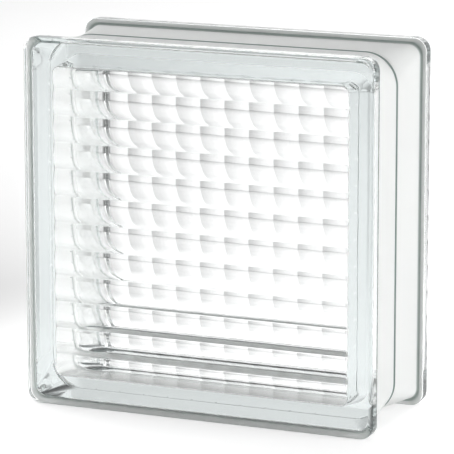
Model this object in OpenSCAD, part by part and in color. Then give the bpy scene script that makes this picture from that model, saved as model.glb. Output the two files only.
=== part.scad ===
// Glass block: two pressed glass halves fused at mid depth, with a sealed hollow between them.
// The inner face of the front half is fluted level and that of the back half upright, so that
// the flutes cross. The block stands on the edges of its two flanges, with its front face
// towards -Y and the origin in the middle of its underside.

/* [Block] */
// Width and height of the block, over its flanges
block_size = 190; // [150:1:300]
// Depth of the block, from outer face to outer face
block_depth = 80; // [60:1:110]

/* [Flange] */
// Corner radius of a flange, seen square on
flange_corner = 7; // [4:0.5:12]
// Width of a flange along the depth, with its rounded edge
flange_land = 7.5; // [5:0.5:12]
// Rounding of the edge between a flange and its face
edge_round = 2.2; // [1:0.1:3.5]

/* [Mortar channel] */
// Depth of the channel that runs round the block between the flanges
channel_depth = 3.5; // [2:0.5:8]
// Corner radius of the channel floor beside a flange
foot_corner = 6; // [3:0.5:10]
// Corner radius of the channel floor at the seam
seam_corner = 16.5; // [8:0.5:25]
// Width of the fused bead along the seam, both halves together
bead_width = 1.6; // [0.8:0.2:4]
// Height of the fused bead above the channel floor
bead_height = 0.3; // [0.1:0.1:1]

/* [Hollow] */
// Side wall of a half at the seam, under the bead
seam_wall = 7.5; // [5:0.5:12]
// Extra side wall beside the fluted window, from the pressing draft
draft = 3.75; // [1:0.25:8]
// Glass between the outer face and the ridges of the flutes
face_thickness = 8; // [6:0.5:14]
// Corner radius of the hollow at the seam
mouth_corner = 10; // [5:0.5:15]
// Corner radius of the fluted window
window_corner = 3.5; // [2:0.5:12]

/* [Flutes] */
// Distance from ridge to ridge
flute_pitch = 13.75; // [8:0.25:20]
// Radius of the hollow curve of a flute
flute_radius = 14; // [12:0.5:30]

/* [Hidden] */
$fn = 48;
slice = 0.01;
half_depth = block_depth / 2;
foot_z = half_depth - flange_land;
floor_size = block_size - 2 * channel_depth;
mouth_size = floor_size - 2 * seam_wall;
window_size = mouth_size - 2 * draft;
ridge_z = half_depth - face_thickness;
flutes_each_side = ceil(window_size / 2 / flute_pitch);
flute_axis_z = ridge_z - sqrt(pow(flute_radius, 2) - pow(flute_pitch / 2, 2));
front_glass = [0.84, 0.92, 0.90];
back_glass = [0.78, 0.89, 0.87];

// Every shape of a half is drawn with its seam on z = 0 and its outer face at z = half_depth.

module rounded_square(size, corner) {
    inset = size - 2 * corner;
    square([size, inset], center = true);
    square([inset, size], center = true);
    for (x = [-1, 1], y = [-1, 1])
        translate([x * inset / 2, y * inset / 2])
            circle(r = corner);
}

// A thin layer of a loft, with its outer side at the given height.
module layer(z, size, corner) {
    translate([0, 0, z])
        linear_extrude(slice)
            rounded_square(size, corner);
}

// Section of a flange, from the middle of a half out to the flange's land.
module flange_section(reach) {
    square([reach, flange_land - edge_round]);
    square([reach - edge_round, flange_land]);
    translate([reach - edge_round, flange_land - edge_round])
        circle(r = edge_round);
}

module flange() {
    straight = block_size - 2 * flange_corner;
    for (side = [0:3])
        rotate([0, 0, 90 * side]) {
            translate([0, straight / 2, foot_z])
                rotate([90, 0, 0])
                    linear_extrude(straight)
                        flange_section(block_size / 2);
            translate([straight / 2, straight / 2, foot_z])
                rotate_extrude(angle = 90)
                    flange_section(flange_corner);
        }
}

module channel_body() {
    hull() {
        layer(0, floor_size, seam_corner);
        layer(foot_z, floor_size, foot_corner);
    }
    linear_extrude(bead_width / 2)
        rounded_square(floor_size + 2 * bead_height, seam_corner + bead_height);
}

module hollow() {
    hull() {
        layer(-slice, mouth_size, mouth_corner);
        layer(ridge_z - slice, window_size, window_corner);
    }
}

module flutes() {
    intersection() {
        linear_extrude(half_depth)
            rounded_square(window_size, window_corner);
        for (i = [-flutes_each_side:flutes_each_side - 1])
            translate([0, (i + 0.5) * flute_pitch, flute_axis_z])
                rotate([0, 90, 0])
                    cylinder(r = flute_radius, h = window_size, center = true);
    }
}

module pressed_half(flute_turn) {
    difference() {
        union() {
            flange();
            channel_body();
        }
        hollow();
        rotate([0, 0, flute_turn])
            flutes();
    }
}

module front_half() {
    color(front_glass)
        translate([0, 0, block_size / 2])
            rotate([90, 0, 0])
                pressed_half(0);
}

module back_half() {
    color(back_glass)
        translate([0, 0, block_size / 2])
            rotate([90, 0, 180])
                pressed_half(90);
}

front_half();
back_half();
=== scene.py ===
"""Glass block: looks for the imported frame. Metres, +Z up, front face towards -Y."""

import math

import bmesh
import bpy
from mathutils import Matrix, Vector


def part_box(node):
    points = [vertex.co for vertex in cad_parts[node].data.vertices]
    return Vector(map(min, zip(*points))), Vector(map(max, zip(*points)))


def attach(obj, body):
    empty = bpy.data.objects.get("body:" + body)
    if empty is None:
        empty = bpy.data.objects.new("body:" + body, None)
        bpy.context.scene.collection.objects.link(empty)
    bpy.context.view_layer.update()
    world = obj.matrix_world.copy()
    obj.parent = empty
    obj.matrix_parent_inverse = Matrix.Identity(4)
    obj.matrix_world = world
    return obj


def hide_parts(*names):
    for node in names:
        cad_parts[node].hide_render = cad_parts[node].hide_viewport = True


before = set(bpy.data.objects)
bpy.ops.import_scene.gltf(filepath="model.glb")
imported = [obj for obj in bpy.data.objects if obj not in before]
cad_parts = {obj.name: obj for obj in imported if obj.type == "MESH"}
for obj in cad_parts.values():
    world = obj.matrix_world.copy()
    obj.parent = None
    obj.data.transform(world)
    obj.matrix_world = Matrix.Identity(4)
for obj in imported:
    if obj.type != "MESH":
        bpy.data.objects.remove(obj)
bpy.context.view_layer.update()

MM = 0.001
LOW, HIGH = (Vector(corner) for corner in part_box("front_half"))
SIZE = HIGH.x - LOW.x
HALF_DEPTH = HIGH.y - LOW.y
CENTRE = Vector((0.0, 0.0, (LOW.z + HIGH.z) / 2))

# The sizes of part.scad.
FLANGE_CORNER = 7 * MM
FLANGE_LAND = 7.5 * MM
EDGE_ROUND = 2.2 * MM
CHANNEL_DEPTH = 3.5 * MM
FLOOR_SIZE = SIZE - 2 * CHANNEL_DEPTH
FOOT_CORNER = 6 * MM
SEAM_CORNER = 16.5 * MM
BEAD_WIDTH = 1.6 * MM
BEAD_HEIGHT = 0.3 * MM
SEAM_WALL = 7.5 * MM
MOUTH_SIZE = FLOOR_SIZE - 2 * SEAM_WALL
MOUTH_CORNER = 10 * MM
DRAFT = 3.75 * MM
WINDOW_SIZE = MOUTH_SIZE - 2 * DRAFT
WINDOW_CORNER = 3.5 * MM
FACE_THICKNESS = 8 * MM
RIDGE_DEPTH = HALF_DEPTH - FACE_THICKNESS
FLUTE_PITCH = 13.75 * MM
FLUTE_RADIUS = 14 * MM

# Small roundings that the CAD leaves sharp.
RIDGE_ROUND = 0.8 * MM
WINDOW_FILLET = 0.8 * MM
LAND_ROUND = 0.4 * MM
FOOT_FILLET = 1.2 * MM

# The glass: its pressed ripple, and the tint over a depth.
RIPPLE_SCALE = 60.0
RIPPLE_HEIGHT = 0.1 * MM
GLASS_TINT = (0.64, 0.69, 0.688, 1)
TINT_DENSITY = 14.0

# The pale edge coat: a film just outside the glass, with painted shade on its outer side along the seam,
# the steps and the feet.
COAT_GAP = 0.05 * MM
COAT_THICKNESS = 0.05 * MM
COAT_COLOUR = (0.96, 0.965, 0.96, 1)
PAINTED_SHADE_COLOUR = (0.3, 0.36, 0.34, 1)
COAT_THROUGH = 0.7
STEP_SHADE, FOOT_SHADE = 0.4, 0.9
SEAM_SHADE_FADE = 0.8 * MM

# The studio: the bearing of its dim side in degrees, and the floor's own light and base grey, with a
# painted shadow towards the dim side and a painted contact shadow under the block.
DIM_BEARING = 320
FLOOR_GLOW = 0.56
UNDER_BLOCK = 0.75
CONTACT_SHADE = 8 * MM
FLOOR_GREY, FLOOR_SHADOW_DROP = 0.6, 0.15

# The camera: bearing, height and roll in degrees, distance and aim in metres.
CAMERA_AZIMUTH, CAMERA_ELEVATION, CAMERA_ROLL = 23.66, 11.83, -0.07
CAMERA_DISTANCE = 1.629
AIM_RIGHT, AIM_UP = 0.08 * MM, -2.74 * MM
SENSOR_WIDTH = 36
LENS = 254.3

# Sizes of the shared rings at the seam, and the turns that place a half: u runs along its flutes.
SEAM_OUTER = (FLOOR_SIZE + 2 * BEAD_HEIGHT, SEAM_CORNER + BEAD_HEIGHT)
SEAM_INNER = (MOUTH_SIZE, MOUTH_CORNER)
FRONT_TURN = Matrix(((1, 0, 0), (0, 0, -1), (0, 1, 0)))
BACK_TURN = Matrix(((0, 1, 0), (0, 0, 1), (1, 0, 0)))

FLUTE_STEPS = 16
RIDGE_STEPS = 3
CORNER_STEPS = 12
ARC_STEPS = 6
ALONG_STEPS = 12
WALL_STEPS = 8


def flute_depth(v):
    """Depth of the fluted surface at v across the flutes: a hollow arc with rounded ridges."""
    across = abs((v / FLUTE_PITCH) % 1.0 - 0.5) * FLUTE_PITCH
    reach = FLUTE_RADIUS + RIDGE_ROUND
    axis = RIDGE_ROUND - math.sqrt(reach ** 2 - (FLUTE_PITCH / 2) ** 2)
    tangent = FLUTE_PITCH / 2 * FLUTE_RADIUS / reach
    if across <= tangent:
        rise = axis + math.sqrt(FLUTE_RADIUS ** 2 - across ** 2)
    else:
        rise = RIDGE_ROUND - math.sqrt(RIDGE_ROUND ** 2 - (FLUTE_PITCH / 2 - across) ** 2)
    return RIDGE_DEPTH + rise


def across_marks():
    """Stations across the flutes on the straight part of a side, in metres."""
    straight = WINDOW_SIZE / 2 - WINDOW_CORNER
    reach = FLUTE_RADIUS + RIDGE_ROUND
    tangent = FLUTE_PITCH / 2 * FLUTE_RADIUS / reach
    one = [-tangent + 2 * tangent * i / FLUTE_STEPS for i in range(FLUTE_STEPS + 1)]
    one += [tangent + (FLUTE_PITCH - 2 * tangent) * i / (2 * RIDGE_STEPS)
            for i in range(1, 2 * RIDGE_STEPS)]
    marks = {-straight, straight}
    count = math.ceil(straight / FLUTE_PITCH)
    for n in range(-count, count):
        for offset in one:
            v = (n + 0.5) * FLUTE_PITCH + offset
            if abs(v) < straight - 0.05 * MM:
                marks.add(round(v, 9))
    return sorted(marks)


MARKS = [v / (WINDOW_SIZE / 2 - WINDOW_CORNER) for v in across_marks()]
ALONG = [-1 + 2 * i / ALONG_STEPS for i in range(ALONG_STEPS + 1)]
TURNS = [math.pi / 2 * i / CORNER_STEPS for i in range(1, CORNER_STEPS)]


def outline(size, corner):
    """Points (u, v) round a rounded square, anticlockwise from the right side's foot."""
    half = size / 2
    straight = half - corner
    points = [(half, t * straight) for t in MARKS]
    points += [(straight + corner * math.cos(a), straight + corner * math.sin(a)) for a in TURNS]
    points += [(t * straight, half) for t in reversed(ALONG)]
    points += [(-straight - corner * math.sin(a), straight + corner * math.cos(a)) for a in TURNS]
    points += [(-half, t * straight) for t in reversed(MARKS)]
    points += [(-straight - corner * math.cos(a), -straight - corner * math.sin(a)) for a in TURNS]
    points += [(t * straight, -half) for t in ALONG]
    points += [(straight + corner * math.sin(a), -straight - corner * math.cos(a)) for a in TURNS]
    return points


def arc(steps=ARC_STEPS):
    """Pairs (cos, sin) over a quarter turn."""
    return [(math.cos(math.pi / 2 * i / steps), math.sin(math.pi / 2 * i / steps))
            for i in range(steps + 1)]


def face_rings():
    """(size, corner, depth) of the rings from the face's edge down the flange to its inner side."""
    rings = []
    for c, s in arc():
        inset = EDGE_ROUND * (1 - s)
        rings.append((SIZE - 2 * inset, FLANGE_CORNER - inset, HALF_DEPTH - EDGE_ROUND * (1 - c)))
    foot = HALF_DEPTH - FLANGE_LAND
    for c, s in arc(3):
        inset = LAND_ROUND * (1 - c)
        rings.append((SIZE - 2 * inset, FLANGE_CORNER - inset, foot + LAND_ROUND * (1 - s)))
    return rings


def channel_rings():
    """(size, corner, depth) of the rings from the flange's foot to beside the seam's crest."""
    rings = []
    foot = HALF_DEPTH - FLANGE_LAND
    for c, s in arc(4):
        grow = FOOT_FILLET * (1 - s)
        rings.append((FLOOR_SIZE + 2 * grow, FOOT_CORNER + grow, foot - FOOT_FILLET * (1 - c)))
    bead = BEAD_WIDTH / 2
    start = foot - FOOT_FILLET
    for i in range(1, WALL_STEPS + 1):
        t = i / WALL_STEPS
        corner = FOOT_CORNER + (SEAM_CORNER - FOOT_CORNER) * t
        rings.append((FLOOR_SIZE, corner, start + (bead - start) * t))
    for c, s in arc(4)[1:-1]:
        rings.append((FLOOR_SIZE + 2 * BEAD_HEIGHT * s, SEAM_CORNER + BEAD_HEIGHT * s, bead * c))
    return rings


def inner_rings():
    """(size, corner, depth) of the rings from beside the seam's mouth to just under the window."""
    top = RIDGE_DEPTH - WINDOW_FILLET
    rings = []
    for t in [0.02] + [i / WALL_STEPS for i in range(1, WALL_STEPS + 1)]:
        rings.append((MOUTH_SIZE + (WINDOW_SIZE - MOUTH_SIZE) * t,
                      MOUTH_CORNER + (WINDOW_CORNER - MOUTH_CORNER) * t, top * t))
    return rings


class Half:
    """One pressed half of the fused mesh; turn places its (u, v, depth) in the frame."""

    def __init__(self, bm, turn):
        self.bm = bm
        self.turn = turn

    def place(self, u, v, depth):
        return self.bm.verts.new(self.turn @ Vector((u, v, depth)) + CENTRE)

    def ring(self, size, corner, depth):
        return [self.place(u, v, depth) for u, v in outline(size, corner)]

    def bridge(self, a, b):
        for i in range(len(a)):
            j = (i + 1) % len(a)
            self.bm.faces.new((a[i], a[j], b[j], b[i]))

    def stitch(self, ring, seam, size, corner, flip):
        """Join a ring to the shared seam ring, which has the stations of both halves."""
        order = {key(vert.co): i for i, vert in enumerate(seam)}
        at = [order[key(self.turn @ Vector((u, v, 0)) + CENTRE)] for u, v in outline(size, corner)]
        count = len(seam)
        forward = (at[1] - at[0]) % count < count / 2
        for i in range(len(ring)):
            j = (i + 1) % len(ring)
            steps = (at[j] - at[i]) % count if forward else (at[i] - at[j]) % count
            way = 1 if forward else -1
            span = [seam[(at[i] + way * k) % count] for k in range(steps + 1)]
            loop = [ring[j], ring[i]] + span
            self.bm.faces.new(loop if flip else loop[::-1])

    def build(self, seam_outer, seam_inner):
        outer = [self.ring(*sizes) for sizes in face_rings() + channel_rings()]
        self.bm.faces.new(outer[0])
        for a, b in zip(outer, outer[1:]):
            self.bridge(b, a)
        self.stitch(outer[-1], seam_outer, *SEAM_OUTER, flip=True)
        inner = [self.ring(*sizes) for sizes in inner_rings()]
        self.stitch(inner[0], seam_inner, *SEAM_INNER, flip=False)
        for a, b in zip(inner, inner[1:]):
            self.bridge(b, a)
        last = inner[-1]
        for c, s in arc(4)[1:]:
            inset = WINDOW_FILLET * (1 - c)
            ring = [self.place(u, v, flute_depth(v) - WINDOW_FILLET * (1 - s))
                    for u, v in outline(WINDOW_SIZE - 2 * inset, WINDOW_CORNER - inset)]
            self.bridge(ring, last)
            last = ring
        self.fluted_sheet(last)

    def fluted_sheet(self, border):
        """Fill the window with the fluted surface, row by row across the flutes."""
        side, turn, along = len(MARKS), len(TURNS), len(ALONG)
        cuts = [0, side, turn, along, turn, side, turn, along, turn]
        starts = [sum(cuts[:i + 1]) for i in range(len(cuts))]
        right, right_top, top, left_top, left, left_low, low, right_low = (
            border[a:b] for a, b in zip(starts, starts[1:]))
        lefts = left_low[::-1] + left[::-1] + left_top[::-1]
        rights = right_low + right + right_top
        heights = [v for _, v in outline(WINDOW_SIZE - 2 * WINDOW_FILLET, WINDOW_CORNER - WINDOW_FILLET)]
        levels = heights[-turn:] + heights[:side + turn]
        straight = WINDOW_SIZE / 2 - WINDOW_CORNER
        rows = [low]
        for left_end, level, right_end in zip(lefts, levels, rights):
            middle = [self.place(t * straight, level, flute_depth(level)) for t in ALONG]
            rows.append([left_end] + middle + [right_end])
        rows.append(top[::-1])
        for below, above in zip(rows, rows[1:]):
            self.row_faces(below, above)

    def row_faces(self, below, above):
        """Quads between two rows; a row that lacks the two end points gets a triangle there."""
        if len(below) != len(above):
            longer = above if len(above) > len(below) else below
            shorter = below if longer is above else above
            ends = [(shorter[0], longer[0], longer[1]), (longer[-1], shorter[-1], longer[-2])]
            for face in ends:
                self.bm.faces.new(face if longer is above else face[::-1])
            if longer is above:
                above = above[1:-1]
            else:
                below = below[1:-1]
        for i in range(len(below) - 1):
            self.bm.faces.new((below[i], above[i], above[i + 1], below[i + 1]))


def key(point):
    return round(point.x / MM, 3), round(point.z / MM, 3)


def seam_ring(bm, size, corner):
    """The shared ring at the seam, with the stations of the front half and of the back half."""
    points = {}
    for turn in (FRONT_TURN, BACK_TURN):
        for u, v in outline(size, corner):
            point = turn @ Vector((u, v, 0)) + CENTRE
            points[key(point)] = point

    def bearing(point):
        return math.atan2(point.z - CENTRE.z, point.x) % (2 * math.pi)

    return [bm.verts.new(point) for point in sorted(points.values(), key=bearing)]


def block_mesh():
    bm = bmesh.new()
    seam_outer = seam_ring(bm, *SEAM_OUTER)
    seam_inner = seam_ring(bm, *SEAM_INNER)
    for turn in (FRONT_TURN, BACK_TURN):
        Half(bm, turn).build(seam_outer, seam_inner)
    return finished(bm, "fused_glass")


def coat_course():
    """(size, corner, depth, lean, drop, shade) of the film's rings, from the flange's edge to the seam.

    lean and drop point out of the glass, along the width and the depth; shade is painted shade, 1 on the
    dark lines of painted shade at the seam and the feet.
    """
    foot = HALF_DEPTH - FLANGE_LAND
    step = (SIZE - FLOOR_SIZE) / 2 - FOOT_FILLET
    course = []
    for t in (0.15, 0.5, 0.85):
        inset = step * t
        course.append((SIZE - 2 * inset, FLANGE_CORNER - inset, foot, 0, -1, STEP_SHADE * t))
    for (size, corner, depth), (c, s) in zip(channel_rings(), arc(4)):
        course.append((size, corner, depth, s, -c, FOOT_SHADE * c))
    wall = channel_rings()[5:5 + WALL_STEPS]
    for size, corner, depth in wall[:-1]:
        course.append((size, corner, depth, 1, 0, 0))
    size, corner, depth = wall[-1]
    course.append((size, corner, depth + SEAM_SHADE_FADE, 1, 0, 0))
    for size, corner, depth in [wall[-1]] + channel_rings()[5 + WALL_STEPS:]:
        course.append((size, corner, depth, 1, 0, 1))
    return course


def coat_mesh():
    """A closed film over the channel and the flanges' inner sides, just outside the glass."""
    half = coat_course()
    crest = (*SEAM_OUTER, 0.0, 1, 0, 1)
    profile = half + [crest] + [(size, corner, -depth, lean, -drop, shade)
                                for size, corner, depth, lean, drop, shade in reversed(half)]
    bm = bmesh.new()
    layer = bm.verts.layers.float.new("shade")
    loops = []
    for off, course in ((COAT_GAP, profile), (COAT_GAP + COAT_THICKNESS, profile[::-1])):
        for size, corner, depth, lean, drop, shade in course:
            loop = [bm.verts.new(Vector((u, depth + drop * off, v)) + CENTRE)
                    for u, v in outline(size + 2 * lean * off, corner + lean * off)]
            # Painted shade goes on the film's outer side only; its inner side stays pale.
            for vert in loop:
                vert[layer] = shade if off > COAT_GAP else 0.0
            loops.append(loop)
    for a, b in zip(loops, loops[1:] + loops[:1]):
        for i in range(len(a)):
            j = (i + 1) % len(a)
            bm.faces.new((a[i], a[j], b[j], b[i]))
    bmesh.ops.recalc_face_normals(bm, faces=bm.faces)
    return finished(bm, "edge_coat")


def finished(bm, name):
    """A smooth-shaded mesh from the drawing; the drawing is freed."""
    for face in bm.faces:
        face.smooth = True
    bm.normal_update()
    mesh = bpy.data.meshes.new(name)
    bm.to_mesh(mesh)
    bm.free()
    return mesh


def glass_material():
    material = bpy.data.materials.new("clear_glass")
    material.use_nodes = True
    nodes, links = material.node_tree.nodes, material.node_tree.links
    shader = nodes["Principled BSDF"]
    shader.inputs["Base Color"].default_value = (1, 1, 1, 1)
    shader.inputs["Roughness"].default_value = 0.0
    shader.inputs["IOR"].default_value = 1.52
    shader.inputs["Transmission Weight"].default_value = 1.0
    place = nodes.new("ShaderNodeTexCoord").outputs["Object"]
    ripple = nodes.new("ShaderNodeTexNoise")
    ripple.inputs["Scale"].default_value = RIPPLE_SCALE
    ripple.inputs["Detail"].default_value = 2.0
    links.new(place, ripple.inputs["Vector"])
    waves = nodes.new("ShaderNodeBump")
    waves.inputs["Strength"].default_value = 0.6
    waves.inputs["Distance"].default_value = RIPPLE_HEIGHT
    links.new(ripple.outputs["Fac"], waves.inputs["Height"])
    links.new(waves.outputs["Normal"], shader.inputs["Normal"])
    tint = nodes.new("ShaderNodeVolumeAbsorption")
    tint.inputs["Color"].default_value = GLASS_TINT
    tint.inputs["Density"].default_value = TINT_DENSITY
    links.new(tint.outputs["Volume"], nodes["Material Output"].inputs["Volume"])
    return material


def coat_material():
    """A pale film that lets half the light through, with painted shade along the seam, the steps and the
    feet.
    """
    material = bpy.data.materials.new("edge_coat")
    material.use_nodes = True
    nodes, links = material.node_tree.nodes, material.node_tree.links
    nodes.remove(nodes["Principled BSDF"])
    shade = nodes.new("ShaderNodeAttribute")
    shade.attribute_name = "shade"
    colour = nodes.new("ShaderNodeMix")
    colour.data_type = "RGBA"
    colour.inputs["A"].default_value = COAT_COLOUR
    colour.inputs["B"].default_value = PAINTED_SHADE_COLOUR
    links.new(shade.outputs["Fac"], colour.inputs["Factor"])
    front = nodes.new("ShaderNodeBsdfDiffuse")
    through = nodes.new("ShaderNodeBsdfTranslucent")
    mix = nodes.new("ShaderNodeMixShader")
    mix.inputs["Fac"].default_value = COAT_THROUGH
    for shader, socket in ((front, 1), (through, 2)):
        links.new(colour.outputs["Result"], shader.inputs["Color"])
        links.new(shader.outputs["BSDF"], mix.inputs[socket])
    links.new(mix.outputs["Shader"], nodes["Material Output"].inputs["Surface"])
    return material


def add_piece(mesh, material, *nodes):
    mesh.materials.append(material)
    piece = bpy.data.objects.new(mesh.name, mesh)
    bpy.context.collection.objects.link(piece)
    weighted = piece.modifiers.new("flat_faces", "WEIGHTED_NORMAL")
    weighted.mode = "FACE_AREA"
    weighted.weight = 100
    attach(piece, "root")
    if nodes:
        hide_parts(*nodes)


def add_camera():
    roll = math.radians(CAMERA_ROLL)
    back = heading(CAMERA_AZIMUTH, CAMERA_ELEVATION)
    right = heading(CAMERA_AZIMUTH + 90)
    up = back.cross(right)
    right, up = (right * math.cos(roll) + up * math.sin(roll),
                 up * math.cos(roll) - right * math.sin(roll))
    data = bpy.data.cameras.new("camera")
    data.sensor_width = SENSOR_WIDTH
    data.lens = LENS
    data.clip_end = 100
    camera = bpy.data.objects.new("camera", data)
    basis = Matrix((right, up, back)).transposed().to_4x4()
    basis.translation = CENTRE + back * CAMERA_DISTANCE + right * AIM_RIGHT + up * AIM_UP
    camera.matrix_world = basis
    bpy.context.collection.objects.link(camera)
    bpy.context.scene.camera = camera


def heading(azimuth, elevation=0.0):
    """Unit vector towards a bearing: 0 is the front, 90 the right, in degrees."""
    a, e = math.radians(azimuth), math.radians(elevation)
    return Vector((math.sin(a) * math.cos(e), -math.cos(a) * math.cos(e), math.sin(e)))


def math_node(nodes, links, operation, *values):
    """A Math node; each value is a number or a socket to link from."""
    node = nodes.new("ShaderNodeMath")
    node.operation = operation
    for socket, value in zip(node.inputs, values):
        if isinstance(value, (int, float)):
            socket.default_value = value
        else:
            links.new(value, socket)
    return node.outputs["Value"]


def vector_node(nodes, links, operation, source, other=None):
    node = nodes.new("ShaderNodeVectorMath")
    node.operation = operation
    links.new(source, node.inputs[0])
    if other is not None:
        node.inputs[1].default_value = other
    return node.outputs["Value" if operation in ("DOT_PRODUCT", "LENGTH") else "Vector"]


def ramp(nodes, links, value, start, stop, low, high):
    """A smooth step of a value from low to high."""
    node = nodes.new("ShaderNodeMapRange")
    node.interpolation_type = "SMOOTHSTEP"
    for name, number in zip(("From Min", "From Max", "To Min", "To Max"), (start, stop, low, high)):
        node.inputs[name].default_value = number
    links.new(value, node.inputs["Value"])
    return node.outputs["Result"]


def add_floor():
    """A pale floor with a glow of its own, with a painted contact shadow under the block and a painted
    shadow towards the dim side.
    """
    bm = bmesh.new()
    bmesh.ops.create_grid(bm, x_segments=1, y_segments=1, size=3)
    mesh = bpy.data.meshes.new("floor")
    bm.to_mesh(mesh)
    bm.free()
    material = bpy.data.materials.new("pale_floor")
    material.use_nodes = True
    nodes, links = material.node_tree.nodes, material.node_tree.links
    shader = nodes["Principled BSDF"]
    shader.inputs["Roughness"].default_value = 0.6
    shader.inputs["Emission Color"].default_value = (1, 1, 1, 1)
    place = nodes.new("ShaderNodeTexCoord").outputs["Object"]
    away = ramp(nodes, links, vector_node(nodes, links, "LENGTH", place), 0.1, 0.32, 0.0, 1.0)
    toward = vector_node(nodes, links, "DOT_PRODUCT", vector_node(nodes, links, "NORMALIZE", place),
                         heading(DIM_BEARING))
    side = ramp(nodes, links, toward, -0.75, 0.27, 0.0, 1.0)
    # Painted shadow: from near the block outwards, towards the dim side, the floor's grey and glow drop.
    dim = math_node(nodes, links, "MULTIPLY", away, side)
    grey = math_node(nodes, links, "MULTIPLY_ADD", dim, -FLOOR_SHADOW_DROP, FLOOR_GREY)
    links.new(grey, shader.inputs["Base Color"])
    axes = nodes.new("ShaderNodeSeparateXYZ")
    links.new(place, axes.inputs["Vector"])
    past = []
    for axis, reach in (("X", SIZE / 2), ("Y", HALF_DEPTH)):
        span = math_node(nodes, links, "ABSOLUTE", axes.outputs[axis])
        past.append(math_node(nodes, links, "SUBTRACT", span, reach))
    # Painted contact shadow: the glow drops under the block, fading in over the last CONTACT_SHADE
    # inside its edge.
    clear = ramp(nodes, links, math_node(nodes, links, "MAXIMUM", *past),
                 -CONTACT_SHADE, 0.0, UNDER_BLOCK * FLOOR_GLOW, FLOOR_GLOW)
    lit = math_node(nodes, links, "SUBTRACT", 1.0, dim)
    glow = math_node(nodes, links, "MULTIPLY", clear, lit)
    links.new(glow, shader.inputs["Emission Strength"])
    mesh.materials.append(material)
    floor = bpy.data.objects.new("floor", mesh)
    bpy.context.collection.objects.link(floor)


def add_world():
    """A bright studio behind and to the right, dim overhead and at the front left."""
    world = bpy.data.worlds.new("studio")
    bpy.context.scene.world = world
    world.use_nodes = True
    nodes, links = world.node_tree.nodes, world.node_tree.links
    nodes["Background"].inputs["Color"].default_value = (1, 1, 1, 1)
    view = nodes.new("ShaderNodeTexCoord").outputs["Generated"]
    height = vector_node(nodes, links, "DOT_PRODUCT", view, heading(0, 90))
    overhead = ramp(nodes, links, height, 0.38, 0.8, 1.25, 0.15)
    toward = vector_node(nodes, links, "DOT_PRODUCT", view, heading(DIM_BEARING, 10))
    side = ramp(nodes, links, toward, -0.65, 0.35, 1.0, 0.05)
    strength = math_node(nodes, links, "MULTIPLY", overhead, side)
    links.new(strength, nodes["Background"].inputs["Strength"])


def add_softbox(name, toward, distance, size, radiance):
    """A square area light aimed at the block, unseen by the camera and by rays through glass."""
    data = bpy.data.lights.new(name, "AREA")
    data.shape = "SQUARE"
    data.size = size
    data.energy = radiance * math.pi * size ** 2
    light = bpy.data.objects.new(name, data)
    light.location = CENTRE + distance * toward
    light.rotation_euler = (-toward).to_track_quat("-Z", "Y").to_euler()
    light.visible_camera = False
    light.visible_transmission = False
    bpy.context.collection.objects.link(light)


def add_lights():
    add_softbox("key", heading(88, 16), 1.6, 1.0, 8.3)
    add_softbox("fill", heading(265, 12), 2.2, 1.76, 9.8)
    add_softbox("top", heading(200, 60), 1.5, 0.8, 4.6)


add_piece(block_mesh(), glass_material(), "front_half", "back_half")
add_piece(coat_mesh(), coat_material())
add_floor()
add_world()
add_lights()
add_camera()

scene = bpy.context.scene
scene.view_settings.view_transform = "Standard"
scene.cycles.max_bounces = 32
scene.cycles.transmission_bounces = 32
scene.cycles.glossy_bounces = 16
scene.cycles.transparent_max_bounces = 32
